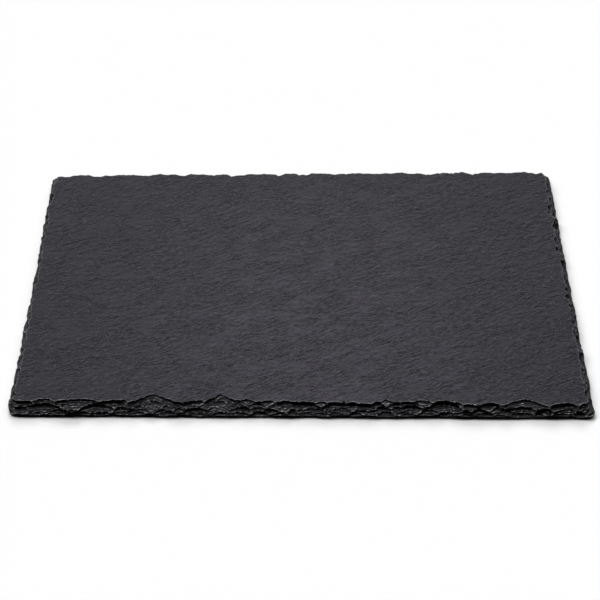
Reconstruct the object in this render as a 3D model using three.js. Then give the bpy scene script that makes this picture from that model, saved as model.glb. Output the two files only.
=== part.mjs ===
// A slate basking platform: one split slab of slate, lying flat, with all four edges dressed by hand.
//
// The slab was sheared from below, so its lower arris is a nearly straight line. From there the
// edge climbs inwards in chips: curved scars with a steep back wall and a floor that dips outwards,
// three tiers of them, laid over each other like fish scales. They end at a wavy rim around the
// flat upper face. The underside is flat, and a narrow undercut runs round it below the arris.
//
// Millimetres. +Z is up, +X runs along the front edge, and +Y points to the back. The origin is at
// the middle of the slab's bounding box, on the surface that it lies on.
import * as THREE from "three";

// Driving dimensions.
const WIDTH = 300; // between the left and right arrises
const DEPTH = 202; // along the right side, from the front arris to the back one
const FRONT_RAKE = 1.9; // the front edge's left end is set back by this much
const BACK_RAKE = 3.3; // the back edge's left end is set forward by this much
const THICKNESS = 6.5;
const ARRIS_HEIGHT = 1.1; // the outermost line, which the shear left, is this high
const UNDERCUT = 1.5; // the flat underside starts this far in from the arris
const LEAN = 0.5; // the arris and the undercut grow by this share towards the right end
const WALL = 4; // height of the steep foot of the sheared face
const WALL_SHARE = 0.1; // the foot takes up this share of the face's depth
const CORNER_RADIUS = 4; // of the worn corners, seen from above
const BAND = 12; // width of the band that may be chipped; inside it both faces are whole

// Mesh density.
const COLUMN_STEP = 3; // along the edge
const CORNER_COLUMNS = 7; // steps round each corner
const BAND_ROWS = 8; // steps up the chipped face
const FAN_RADIUS = 2; // of the inner end of the band at each corner
const RIM_STEP = 0.25; // the rim's place in a column is found to this
const HALVINGS = 30; // of the range that a profile point is sought in

// A chip on the front edge: its distance along the edge, half its width, how far it bites in from the
// arris, the shape of its arc (2 is round, more is flatter and less is pointed), and the heights of
// its floor at the arris and at its apex.
const chip = (at, half, reach, crest, low, high) => ({ at, half, reach, crest, low, high });

// The front edge's chips, from the left end, in three tiers. The first tier cuts the rim.
const RIM_CHIPS = [
  chip(8, 9, 5.7, 3, 3.9, 4.4),
  chip(18, 12, 6.9, 2.1, 5.0, 5.6),
  chip(28, 11, 6.2, 2, 4.8, 5.3),
  chip(38, 12, 7.0, 3.5, 4.6, 5.2),
  chip(53, 13.5, 6.3, 2.2, 4.2, 4.7),
  chip(59, 8.5, 6.7, 1.5, 5.0, 5.6),
  chip(65, 10, 6.3, 1.8, 4.5, 5.0),
  chip(74.5, 20, 10.6, 1.2, 2.8, 6.2),
  chip(87.5, 8.5, 5.4, 1.5, 4.2, 4.7),
  chip(96, 9, 6.7, 3, 4.4, 4.9),
  chip(109, 17, 10.6, 1.2, 2.8, 6.2),
  chip(117.5, 8.5, 7.2, 1.5, 4.6, 5.1),
  chip(122.5, 10, 7.4, 1.7, 5.0, 5.6),
  chip(127.5, 8.5, 6.4, 1.5, 4.2, 4.7),
  chip(133.5, 8.5, 6.7, 2, 4.8, 5.3),
  chip(143, 13.5, 6.8, 1.8, 3.9, 4.4),
  chip(150, 13, 5.8, 3, 3.4, 3.9),
  chip(160, 7.5, 6.2, 1.8, 5.0, 5.6),
  chip(168, 10, 6.0, 2.2, 3.7, 4.2),
  chip(171.4, 1.8, 7.4, 1.2, 5.0, 6.0),
  chip(176, 8.5, 5.8, 2.2, 3.6, 4.1),
  chip(181.5, 9.5, 4.8, 2.2, 3.6, 4.1),
  chip(189, 7.5, 6.2, 1.5, 4.2, 4.7),
  chip(193.5, 8.5, 7.9, 1.3, 5.2, 5.8),
  chip(199, 8.5, 6.2, 1.5, 4.2, 4.7),
  chip(205, 12, 6.2, 2, 4.4, 4.9),
  chip(212, 11, 6.8, 2, 5.0, 5.6),
  chip(223, 11.5, 7.4, 2, 3.2, 3.7),
  chip(229, 8.5, 6.0, 1.5, 4.9, 5.4),
  chip(236, 10, 5.0, 2, 4.4, 4.9),
  chip(246, 9, 6.0, 2.6, 4.1, 4.6),
  chip(264, 17, 8.2, 1.5, 4.8, 5.3),
  chip(284.5, 9.5, 6.2, 2.4, 4.0, 4.5),
  chip(295, 7, 5.3, 1.5, 3.8, 4.8),
];
const MIDDLE_CHIPS = [
  chip(17, 15, 5.3, 1.7, 2.7, 3.2),
  chip(46, 11.5, 4.9, 2.2, 2.8, 3.3),
  chip(60, 8, 3.4, 2, 2.8, 3.3),
  chip(67, 5, 5.2, 2, 3.4, 3.9),
  chip(66, 8.5, 3.0, 2, 2.5, 3.0),
  chip(75, 8.5, 7.0, 2, 3.9, 4.3),
  chip(81, 4, 4.6, 2, 3.3, 3.8),
  chip(88, 5, 3.2, 2, 2.6, 3.1),
  chip(97, 10, 3.8, 1.8, 2.3, 2.8),
  chip(102, 4, 4.2, 2, 3.5, 4.0),
  chip(108, 9, 7.2, 2.4, 3.9, 4.3),
  chip(105, 4.5, 5.4, 2, 3.4, 3.9),
  chip(119, 8.5, 3.8, 2, 2.5, 3.0),
  chip(128.5, 7, 4.0, 2, 2.7, 3.2),
  chip(135, 9, 2.8, 1.6, 2.3, 2.8),
  chip(141, 4, 5.0, 2, 3.2, 3.7),
  chip(156, 11, 3.4, 2, 2.4, 2.9),
  chip(163, 4, 4.6, 2, 3.1, 3.6),
  chip(170, 8, 3.8, 2.4, 2.6, 3.1),
  chip(181, 6, 2.6, 2, 2.3, 2.8),
  chip(191, 6, 4.2, 2, 2.6, 3.1),
  chip(199, 4, 4.2, 2, 2.8, 3.3),
  chip(206, 8, 4.8, 2.6, 2.7, 3.2),
  chip(216, 6, 3.0, 2, 2.2, 2.6),
  chip(229, 6, 3.4, 2, 2.6, 3.1),
  chip(241, 6, 3.8, 1.5, 2.5, 3.0),
  chip(250, 5, 4.7, 1.6, 2.8, 3.3),
  chip(254, 8, 3.4, 2, 2.6, 3.1),
  chip(262, 10, 4.4, 2.2, 2.9, 3.4),
  chip(275, 5, 2.8, 2, 2.6, 3.1),
  chip(285, 7.5, 3.9, 2, 2.7, 3.2),
];
const FOOT_CHIPS = [
  chip(6, 8, 3.8, 2, 2.2, 2.6),
  chip(15, 6, 2.4, 1.6, 1.8, 2.3),
  chip(25, 6.5, 2.6, 2, 1.8, 2.3),
  chip(38.5, 5, 1.7, 2, 1.7, 2.2),
  chip(48.5, 5.5, 1.6, 2, 1.5, 2.0),
  chip(56, 3, 3.0, 1.6, 2.0, 2.7),
  chip(63, 9, 2.3, 2, 1.7, 2.2),
  chip(79, 5, 2.7, 2, 2.2, 2.6),
  chip(82, 6, 1.9, 1.6, 1.6, 2.1),
  chip(90, 4, 1.7, 2, 1.6, 2.1),
  chip(98, 8, 2.2, 1.8, 1.5, 2.0),
  chip(109, 5, 1.5, 2, 1.7, 2.2),
  chip(118, 6, 1.7, 2, 1.5, 2.0),
  chip(129, 5, 2.2, 2, 1.3, 1.7),
  chip(138, 5, 1.6, 2, 1.8, 2.3),
  chip(146, 3.5, 3.4, 1.6, 1.8, 2.6),
  chip(153, 5, 1.8, 2, 1.8, 2.2),
  chip(160.5, 4.5, 1.6, 2, 1.5, 1.9),
  chip(168, 6, 1.8, 1.6, 1.9, 2.4),
  chip(178, 5, 1.6, 2, 1.8, 2.2),
  chip(187, 4, 2.6, 2, 2.0, 2.5),
  chip(193, 5, 1.9, 2, 1.6, 2.0),
  chip(203, 5.5, 2.2, 2, 1.8, 2.3),
  chip(212, 4, 2.1, 2, 2.1, 2.5),
  chip(224, 6, 1.9, 2, 1.7, 2.1),
  chip(234, 5, 2.0, 2, 1.9, 2.4),
  chip(244, 4.5, 1.9, 2, 1.8, 2.2),
  chip(252, 4.5, 2.4, 2, 2.0, 2.5),
  chip(262, 7, 2.2, 2.4, 1.6, 2.0),
  chip(271, 3.5, 2.3, 2, 2.0, 2.5),
  chip(283, 5.5, 2.1, 2, 1.9, 2.4),
  chip(292, 4, 1.9, 2, 1.8, 2.2),
];

// The tiers of chips on the other sides, from the rim down: their pitch and reach beside the side's
// own, and the heights of their floors.
const TIERS = [
  { pitch: 1, reach: 1.15, low: 4.4, high: 4.9 },
  { pitch: 1.3, reach: 0.7, low: 2.7, high: 3.2 },
  { pitch: 0.9, reach: 0.35, low: 1.6, high: 2.1 },
];

// The least and the most that each measure of such a chip may be.
const SPREAD = {
  place: [0.1, 0.9], // within its own stretch of the side, as a share of it
  half: [0.4, 0.9], // times the pitch
  reach: [0.75, 1.45], // times the tier's reach
  crest: [1.4, 3],
  low: [-0.3, 0.3], // added to the tier's height
  high: [-0.55, 0.55], // added to the tier's height
};
const BOWL = 0.6; // how far a chip's floor rises from its middle to its two ends
const CORNER_CHIP = 9; // half the width of the chip across each corner
const CORNER_REACH = 0.6; // its reach, as a share of the two sides' bevels together

// The arris and the rim wander a little: how far, over what length, and the seed of the wandering.
const ARRIS_WOBBLE = { size: 0.3, length: 9, seed: 20 };
const RIM_WOBBLE = { size: 0.5, length: 5, seed: 21 };

// Each side runs anticlockwise, seen from above. `bevel` is how far in the rim lies at its two ends,
// where no chip has moved it, `bow` is how far the side is hollowed in its middle, and `pitch` is
// the distance between chips where they aren't listed.
const HALF_WIDTH = WIDTH / 2;
const HALF_DEPTH = DEPTH / 2;
const FRONT_LEFT = [-HALF_WIDTH, FRONT_RAKE - HALF_DEPTH];
const FRONT_RIGHT = [HALF_WIDTH, -HALF_DEPTH];
const BACK_RIGHT = [HALF_WIDTH, HALF_DEPTH];
const BACK_LEFT = [-HALF_WIDTH, HALF_DEPTH - BACK_RAKE];
const FRONT_CHIPS = [...RIM_CHIPS, ...MIDDLE_CHIPS, ...FOOT_CHIPS];
const SIDES = [
  { from: FRONT_LEFT, to: FRONT_RIGHT, bevel: [5.4, 4.2], bow: 0, seed: 11, chips: FRONT_CHIPS },
  { from: FRONT_RIGHT, to: BACK_RIGHT, bevel: [3.8, 3.2], bow: 0.2, seed: 23, pitch: 9 },
  { from: BACK_RIGHT, to: BACK_LEFT, bevel: [2.8, 2.8], bow: 0, seed: 37, pitch: 11 },
  { from: BACK_LEFT, to: FRONT_LEFT, bevel: [2.3, 2.6], bow: 0.7, seed: 53, pitch: 8 },
];

// A number from 0 to 1 that depends only on n and seed.
function chance(n, seed) {
  const x = Math.sin(n * 12.9898 + seed * 78.233) * 43758.5453;
  return x - Math.floor(x);
}

// Smooth noise along a line, from -1 to 1, with a swing about every unit of t.
function wave(t, seed) {
  const n = Math.floor(t);
  const f = t - n;
  const blend = f * f * (3 - 2 * f);
  return 2 * (chance(n, seed) * (1 - blend) + chance(n + 1, seed) * blend) - 1;
}

const lerp = THREE.MathUtils.lerp;

// A number drawn from a range.
const between = ([least, most], n, seed) => lerp(least, most, chance(n, seed));

// How far a line round the slab has wandered at a distance along a side.
const wander = (wobble, distance, side) =>
  wobble.size * wave(distance / wobble.length, side.seed + wobble.seed);

// A side with its length, its direction and its inward normal.
function measured(side) {
  const [x0, y0] = side.from;
  const [x1, y1] = side.to;
  const length = Math.hypot(x1 - x0, y1 - y0);
  const along = [(x1 - x0) / length, (y1 - y0) / length];
  return { ...side, length, along, inward: [-along[1], along[0]] };
}

const sides = SIDES.map(measured);

// One tier of a side's chips, about one every pitch.
function drawnChips(side, tier, level) {
  const pitch = side.pitch * tier.pitch;
  const count = Math.round(side.length / pitch);
  const seed = side.seed + 10 * level;
  const reach = (tier.reach * (side.bevel[0] + side.bevel[1])) / 2;
  return Array.from({ length: count }, (_, n) =>
    chip(
      (n + between(SPREAD.place, n, seed)) * (side.length / count),
      pitch * between(SPREAD.half, n, seed + 1),
      reach * between(SPREAD.reach, n, seed + 2),
      between(SPREAD.crest, n, seed + 3),
      tier.low + between(SPREAD.low, n, seed + 4),
      tier.high + between(SPREAD.high, n, seed + 5),
    ),
  );
}

// What a side's chips left, in plan: each scar has its place and the way it faces.
function sideScars(side) {
  const chips = side.chips ?? TIERS.flatMap((tier, level) => drawnChips(side, tier, level));
  return chips.map((one) => ({
    ...one,
    x: side.from[0] + one.at * side.along[0],
    y: side.from[1] + one.at * side.along[1],
    along: side.along,
    inward: side.inward,
  }));
}

// A scar of each tier across the corner at the end of a side, facing along its bisector.
function cornerScars(side, n) {
  const next = sides[(n + 1) % sides.length];
  const bisector = [side.inward[0] + next.inward[0], side.inward[1] + next.inward[1]];
  const size = Math.hypot(...bisector);
  const inward = bisector.map((v) => v / size);
  const along = [inward[1], -inward[0]];
  const inset = CORNER_RADIUS * (Math.SQRT2 - 1);
  const reach = CORNER_REACH * (side.bevel[1] + next.bevel[0]);
  return TIERS.map((tier) => ({
    x: side.to[0] + inward[0] * inset,
    y: side.to[1] + inward[1] * inset,
    along,
    inward,
    half: CORNER_CHIP * tier.pitch,
    reach: reach * tier.reach,
    crest: 2,
    low: tier.low,
    high: tier.high,
  }));
}

const scars = [...sides.flatMap(sideScars), ...sides.flatMap(cornerScars)];

// The height that a chip left at a plan point, or Infinity outside its scar.
function floorOf(scar, x, y) {
  const dx = x - scar.x;
  const dy = y - scar.y;
  const across = Math.abs(dx * scar.along[0] + dy * scar.along[1]) / scar.half;
  if (across >= 1) return Infinity;
  const depth = (dx * scar.inward[0] + dy * scar.inward[1]) / scar.reach;
  if (depth >= 1 - across ** scar.crest) return Infinity;
  return lerp(scar.low, scar.high, Math.max(depth, 0)) + BOWL * across ** 2;
}

// The sheared face before any chip came off, at a distance in from the arris.
function shearedHeight(inset, rim) {
  const foot = WALL_SHARE * rim;
  if (inset < foot) return lerp(ARRIS_HEIGHT, WALL, inset / foot);
  return Math.min(THICKNESS, lerp(WALL, THICKNESS, (inset - foot) / (rim - foot)));
}

// A column of the band: where its inner end is, the way from there to the arris, the length of that
// way, and how far in from the arris the rim lies where no chip has moved it.
function column(inner, outward, straightReach, distance, side) {
  const sag = side.bow * Math.sin((Math.PI * distance) / side.length) ** 2;
  const reach = straightReach - sag + wander(ARRIS_WOBBLE, distance, side);
  const bevel = lerp(side.bevel[0], side.bevel[1], distance / side.length);
  const rim = bevel + wander(RIM_WOBBLE, distance, side);
  return { inner, outward, reach, rim };
}

// The columns along one side, between its two corners' fans.
function sideColumns(side) {
  const margin = BAND + FAN_RADIUS;
  const run = side.length - 2 * margin;
  const count = Math.round(run / COLUMN_STEP);
  const outward = side.inward.map((v) => -v);
  return Array.from({ length: count + 1 }, (_, n) => {
    const distance = margin + (run * n) / count;
    const inner = [0, 1].map(
      (axis) => side.from[axis] + side.along[axis] * distance + side.inward[axis] * BAND,
    );
    return column(inner, outward, BAND, distance, side);
  });
}

// The columns that fan round the corner at the end of a side.
function cornerColumns(side, n) {
  const next = sides[(n + 1) % sides.length];
  const margin = BAND + FAN_RADIUS;
  const straight = margin - CORNER_RADIUS;
  const centre = [0, 1].map(
    (axis) => side.to[axis] + margin * (side.inward[axis] - side.along[axis]),
  );
  return Array.from({ length: CORNER_COLUMNS - 1 }, (_, k) => {
    const angle = (Math.PI / 2) * ((k + 1) / CORNER_COLUMNS);
    const [c, s] = [Math.cos(angle), Math.sin(angle)];
    const outward = [0, 1].map((axis) => -side.inward[axis] * c + side.along[axis] * s);
    const toSide = margin / Math.max(c, s);
    const middle = straight * (c + s);
    const toCorner = middle + Math.sqrt(middle ** 2 - 2 * straight ** 2 + CORNER_RADIUS ** 2);
    const onStraight = margin * Math.tan(Math.min(angle, Math.PI / 2 - angle)) < straight;
    const reach = (onStraight ? toSide : toCorner) - FAN_RADIUS;
    const inner = [0, 1].map((axis) => centre[axis] + outward[axis] * FAN_RADIUS);
    const owner = angle < Math.PI / 4 ? side : next;
    const distance = owner === side ? side.length - margin * (1 - Math.tan(angle))
      : margin * (1 - Math.tan(Math.PI / 2 - angle));
    return column(inner, outward, reach, distance, owner);
  });
}

const columns = sides.flatMap((side, n) => [...sideColumns(side), ...cornerColumns(side, n)]);

// The surface's height in a column at a distance in from the arris.
function heightIn(strip, inset) {
  const x = strip.inner[0] + strip.outward[0] * (strip.reach - inset);
  const y = strip.inner[1] + strip.outward[1] * (strip.reach - inset);
  const floors = scars.map((scar) => floorOf(scar, x, y));
  return Math.min(shearedHeight(inset, strip.rim), ...floors);
}

// The point of a column's profile where inset plus height makes `sum`. The profile only climbs as
// it goes in, so there is one such point, on a floor or on a steep wall.
function profilePoint(strip, sum) {
  let low = 0;
  let high = sum;
  for (let n = 0; n < HALVINGS; n += 1) {
    const middle = (low + high) / 2;
    if (middle + heightIn(strip, middle) < sum) low = middle;
    else high = middle;
  }
  return [high, sum - high];
}

// How far in the flat upper face starts in a column.
function rimInset(strip) {
  let inset = BAND - 2 * RIM_STEP;
  while (inset > 1 && heightIn(strip, inset - RIM_STEP) >= THICKNESS) inset -= RIM_STEP;
  return inset;
}

// The rim insets with each one raised to its neighbours', so that rows don't shear between columns.
function smoothRims(strips) {
  const raw = strips.map(rimInset);
  const pick = (values, n) => values[(n + values.length) % values.length];
  return raw.map((_, n) => Math.max(pick(raw, n - 1), raw[n], pick(raw, n + 1)));
}

// One closed mesh: the underside's rim, the arris, the chipped face row by row, and the two caps.
function slabGeometry() {
  const rims = smoothRims(columns);
  const rings = [];
  const ring = (pointOf) =>
    rings.push(
      columns.map((strip, n) => {
        const [inset, height] = pointOf(strip, n);
        const out = strip.reach - inset;
        return [strip.inner[0] + strip.outward[0] * out, strip.inner[1] + strip.outward[1] * out, height];
      }),
    );
  const lean = (strip) => 1 + (LEAN * strip.inner[0]) / HALF_WIDTH;
  const arris = (strip) => ARRIS_HEIGHT * lean(strip);
  ring((strip) => [UNDERCUT * lean(strip), 0]);
  ring((strip) => [0, arris(strip)]);
  for (let row = 1; row < BAND_ROWS; row += 1) {
    ring((strip, n) => {
      const top = rims[n] + THICKNESS;
      const [inset, height] = profilePoint(strip, lerp(ARRIS_HEIGHT, top, row / BAND_ROWS));
      return [inset, Math.max(height, arris(strip))];
    });
  }
  ring((strip, n) => [rims[n], THICKNESS]);

  const count = columns.length;
  const index = [];
  for (let row = 0; row + 1 < rings.length; row += 1) {
    for (let n = 0; n < count; n += 1) {
      const a = row * count + n;
      const b = row * count + ((n + 1) % count);
      index.push(a, b, b + count, a, b + count, a + count);
    }
  }
  const outlineOf = (points) => points.map(([x, y]) => new THREE.Vector2(x, y));
  const last = (rings.length - 1) * count;
  for (const [a, b, c] of THREE.ShapeUtils.triangulateShape(outlineOf(rings.at(-1)), [])) {
    index.push(last + a, last + b, last + c);
  }
  for (const [a, b, c] of THREE.ShapeUtils.triangulateShape(outlineOf(rings[0]), [])) {
    index.push(c, b, a);
  }
  const geometry = new THREE.BufferGeometry();
  geometry.setAttribute("position", new THREE.Float32BufferAttribute(rings.flat(2), 3));
  geometry.setIndex(index);
  geometry.computeBoundingBox();
  const centre = geometry.boundingBox.getCenter(new THREE.Vector3());
  geometry.translate(-centre.x, -centre.y, 0);
  geometry.computeVertexNormals();
  return geometry;
}

// Charcoal slate, split along its cleavage and left matt.
const slate = new THREE.MeshStandardMaterial({ color: 0x403f44, roughness: 0.75, metalness: 0 });

const slab = new THREE.Mesh(slabGeometry(), slate);
slab.name = "slate_slab";

const platform = new THREE.Group();
platform.add(slab);

export default platform;
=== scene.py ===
"""The looks of a slate basking platform.

One slab of slate, split along its cleavage and dressed by hand, lies on a pale studio floor. Its form
is the one that the frame holds, worked out again much finer: the same sheared edge and the same chips,
with the cleavage steps inside them and the riven relief of both faces.

Lengths are in millimetres until a mesh is made, which is in metres like everything else in Blender.
"""

import logging
import math
from dataclasses import dataclass
from enum import Enum

import bpy
import numpy as np
from mathutils import Matrix, Vector
from mathutils.geometry import delaunay_2d_cdt

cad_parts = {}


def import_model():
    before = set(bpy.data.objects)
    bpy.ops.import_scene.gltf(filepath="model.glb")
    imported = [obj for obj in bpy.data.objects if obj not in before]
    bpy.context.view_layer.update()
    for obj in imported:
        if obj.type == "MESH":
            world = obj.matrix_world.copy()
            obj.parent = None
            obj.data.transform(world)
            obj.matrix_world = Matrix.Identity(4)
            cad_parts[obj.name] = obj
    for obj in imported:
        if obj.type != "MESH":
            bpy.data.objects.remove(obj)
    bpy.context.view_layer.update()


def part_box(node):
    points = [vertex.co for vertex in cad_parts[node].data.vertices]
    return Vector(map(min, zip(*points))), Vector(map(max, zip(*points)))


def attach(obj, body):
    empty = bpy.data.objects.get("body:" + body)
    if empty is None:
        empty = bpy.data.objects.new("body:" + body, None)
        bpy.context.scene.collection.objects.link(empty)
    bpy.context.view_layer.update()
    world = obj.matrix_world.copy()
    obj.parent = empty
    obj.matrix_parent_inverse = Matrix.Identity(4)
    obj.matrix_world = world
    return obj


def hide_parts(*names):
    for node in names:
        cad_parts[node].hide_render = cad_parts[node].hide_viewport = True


log = logging.getLogger("slate_platform")

Array = np.ndarray
Tree = bpy.types.NodeTree
Socket = bpy.types.NodeSocket
Pair = tuple[float, float]

MM = 0.001  # a millimetre in metres
GRAIN = math.radians(25)  # the way the stone's grain runs, from +X towards +Y
BOWL = 0.6  # how far a chip's floor rises from its middle to its two ends
RING = 1.5  # the distance between the ripples that run round a chip's floor
RIPPLE = 0.13  # how far they rise and fall
CLEAN = (4.0, 11.0)  # half widths of the chips that start to come off clean, and that do so fully
TIER_SEEDS = 10  # the numbers between the seeds of a side's tiers
NICK_SEED = 50  # added to a side's seed to draw its nicks
FOOT_ROWS = 2  # rows of faces between the underside's rim and the arris
SIDES = 4  # of the slab
LINE_HASH = (12.9898, 78.233, 43758.5453)  # factors under which a sine looks random
CELL_HASH = (374761393, 668265263, 974634777, 1274126177)  # large odd factors that scatter whole numbers
WORD = 0xFFFFFFFF  # the scattered numbers keep 32 bits
SWING = 1.5  # brings gradient noise to about -1 to 1
STAGGER = 0.25  # a grid's rows are shifted to and fro by this share of a step
FILL_LOOP = 1  # tells the triangulation to keep what lies inside its loop
SAME_POINT = 1e-6  # points nearer than this are one to it
MIX_FROM, MIX_TO, MIX_RESULT = 6, 7, 2  # a mix node's sockets for colours


class Face(Enum):
    """The slab's two split faces. The value sets where in the pattern the face's relief is taken from."""

    UPPER = 0
    UNDER = 1000


def linear(colour: str) -> tuple[float, float, float, float]:
    """Turns an sRGB colour into linear light.

    Args:
        colour: the colour as "#rrggbb".

    Returns:
        Red, green, blue and a full alpha.
    """
    parts = [int(colour[n : n + 2], 16) / 255 for n in (1, 3, 5)]
    light = [p / 12.92 if p <= 0.04045 else ((p + 0.055) / 1.055) ** 2.4 for p in parts]  # sRGB's curve
    return (*light, 1.0)


def chance(n: Array | float, seed: float) -> Array | float:
    """Draws a number from 0 to 1 that depends only on the index (or each of many) and the seed."""
    x = np.sin(n * LINE_HASH[0] + seed * LINE_HASH[1]) * LINE_HASH[2]
    return x - np.floor(x)


def between(ends: Pair, n: Array | float, seed: float) -> Array | float:
    """Draws a number between two ends for the index (or each of many) and the seed."""
    return ends[0] + (ends[1] - ends[0]) * chance(n, seed)


def wave(t: Array, seed: float) -> Array:
    """Smooth noise along a line.

    Args:
        t: places on the line, with a swing about every unit.
        seed: picks the line.

    Returns:
        A number from -1 to 1 for each place.
    """
    n = np.floor(t)
    f = t - n
    blend = f * f * (3 - 2 * f)
    return 2 * (chance(n, seed) * (1 - blend) + chance(n + 1, seed) * blend) - 1


def ripple(x: Array, y: Array, seed: int) -> Array:
    """Gradient noise over a plane.

    Args:
        x: places along the first axis, with a swing about every unit.
        y: places along the second axis.
        seed: picks the pattern.

    Returns:
        A number from about -1 to 1 for each place.
    """
    i, j = np.floor(x).astype(np.int64), np.floor(y).astype(np.int64)
    fx, fy = x - i, y - j
    u, v = (f**3 * (f * (f * 6 - 15) + 10) for f in (fx, fy))  # a fade from cell to cell, with no kink
    rows = []
    for dj in (0, 1):
        pulls = []
        for di in (0, 1):  # each corner of a cell has a slope of its own, which its key picks
            key = ((i + di) * CELL_HASH[0] + (j + dj) * CELL_HASH[1] + seed * CELL_HASH[2]) & WORD
            key = ((key ^ (key >> 13)) * CELL_HASH[3]) & WORD
            turn = (key ^ (key >> 16)) * (math.tau / (WORD + 1))
            pulls.append(np.cos(turn) * (fx - di) + np.sin(turn) * (fy - dj))
        rows.append(pulls[0] * (1 - u) + pulls[1] * u)
    return SWING * (rows[0] * (1 - v) + rows[1] * v)


def step(share: Array, width: float) -> Array:
    """A smooth step from 0 to 1 about the middle of a share, over a given width of it."""
    f = np.clip((share - 0.5) / width + 0.5, 0, 1)
    return f * f * (3 - 2 * f)


def add_object(name: str, data: bpy.types.ID) -> bpy.types.Object:
    """Adds an object to the scene.

    Args:
        name: its name.
        data: its mesh, light or camera.

    Returns:
        The object.
    """
    made = bpy.data.objects.new(name, data)
    bpy.context.scene.collection.objects.link(made)
    return made


def add_node(
    tree: Tree, kind: str, inputs: dict | list | tuple = (), **settings: object
) -> bpy.types.Node:
    """Adds a node to a material or world.

    Args:
        tree: the node tree.
        kind: the node's type, without its "ShaderNode".
        inputs: what goes into its sockets, in their order or by name or number: a value, or another
            node's output to link.
        settings: the node's own properties.

    Returns:
        The node.
    """
    node = tree.nodes.new("ShaderNode" + kind)
    for name, value in settings.items():
        setattr(node, name, value)
    for key, value in inputs.items() if isinstance(inputs, dict) else enumerate(inputs):
        if isinstance(value, Socket):
            tree.links.new(value, node.inputs[key])
        else:
            node.inputs[key].default_value = value
    return node


@dataclass(frozen=True)
class Grain:
    """One scale of the stone's texture.

    Its sizes are in millimetres, along the grain, across it and through the sheets, and `detail` is how
    many finer scales it carries.
    """

    along: float
    across: float
    through: float
    detail: float = 2.0


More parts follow.
